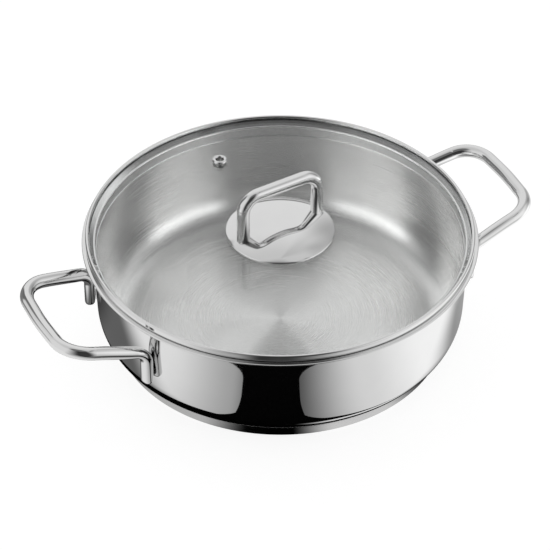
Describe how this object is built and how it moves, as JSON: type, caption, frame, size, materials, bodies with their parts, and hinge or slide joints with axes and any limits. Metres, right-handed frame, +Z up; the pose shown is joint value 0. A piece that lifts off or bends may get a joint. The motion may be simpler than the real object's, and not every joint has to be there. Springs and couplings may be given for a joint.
{
  "type": "casserole pan",
  "caption": "Shallow steel casserole pan with looped side handles and a capsule base, and a lift-off glass lid with a steel rim, bar handle and steam vent.",
  "frame": {"origin": "middle of the flat underside of the base, on the surface that the pan stands on", "axes": "+X through the middle of the right handle, +Y to the back, where the lid's vent lies, +Z up, the way the lid lifts off"},
  "size_m": [0.4016, 0.297, 0.1393],
  "materials": {
    "polished_steel": "mirror polished stainless steel",
    "satin_steel": "satin stainless steel, turned marks inside the pan",
    "aluminium": "plain rolled aluminium, enclosed",
    "clear_glass": "clear tempered glass, green at the edge",
    "silicone": "pale translucent silicone"
  },
  "bodies": {
    "pan": {"pan_body": "polished_steel", "base_core": "aluminium", "base_cap": "polished_steel", "left_handle": "polished_steel", "right_handle": "polished_steel", "left_front_weld_stud": "satin_steel", "left_rear_weld_stud": "satin_steel", "right_front_weld_stud": "satin_steel", "right_rear_weld_stud": "satin_steel"},
    "lid": {"lid_rim_ring": "polished_steel", "lid_glass": "clear_glass", "vent_eyelet": "polished_steel", "vent_washer": "satin_steel", "lid_handle_plate": "polished_steel", "lid_handle_bar": "polished_steel", "plate_gasket": "silicone", "handle_boss": "satin_steel", "screw_seal": "silicone", "screw_washer": "satin_steel", "handle_screw": "satin_steel"}
  },
  "joints": [
    {"name": "lid_lift", "type": "slide", "parent": "pan", "child": "lid", "axis": [0, 0, 1], "range_m": [0, 0.15]}
  ]
}
